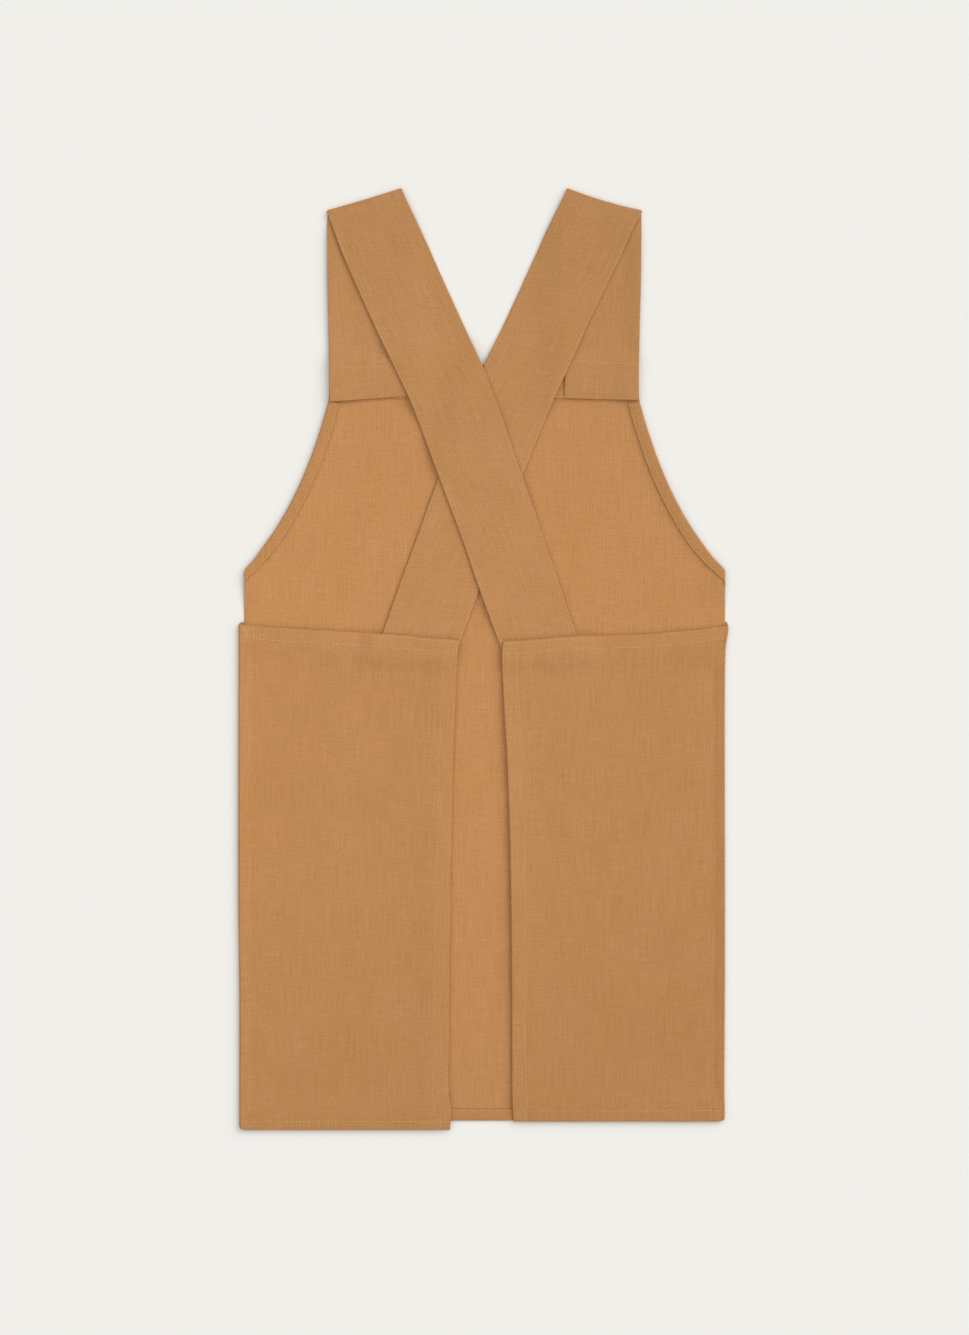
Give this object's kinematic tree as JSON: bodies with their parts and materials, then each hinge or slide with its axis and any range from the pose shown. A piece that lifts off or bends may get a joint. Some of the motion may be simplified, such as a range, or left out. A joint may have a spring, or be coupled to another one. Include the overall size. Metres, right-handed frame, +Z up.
{
  "type": "cross back apron",
  "caption": "Cross back apron of tan woven cloth, laid flat back side up, with wide straps that cross behind the bib and an open back.",
  "frame": {"origin": "middle of the apron's footprint, on the surface that it lies on", "axes": "+X to the right in the view from above, +Y towards the shoulder ends of the straps, +Z up"},
  "size_m": [0.49, 0.9412, 0.0088],
  "materials": {
    "apron_cloth": "matte",
    "strap_cloth": "matte",
    "thread": "matte"
  },
  "bodies": {
    "root": {"front_panel": "apron_cloth", "bib_top_hem": "apron_cloth", "left_armhole_facing": "apron_cloth", "right_armhole_facing": "apron_cloth", "front_bottom_hem": "apron_cloth", "left_waist_hem": "apron_cloth", "right_waist_hem": "apron_cloth", "left_centre_hem": "apron_cloth", "right_centre_hem": "apron_cloth", "left_back_bottom_hem": "apron_cloth", "right_back_bottom_hem": "apron_cloth", "left_back_panel": "apron_cloth", "right_back_panel": "apron_cloth", "left_strap": "strap_cloth", "right_strap": "strap_cloth"}
  },
  "joints": []
}
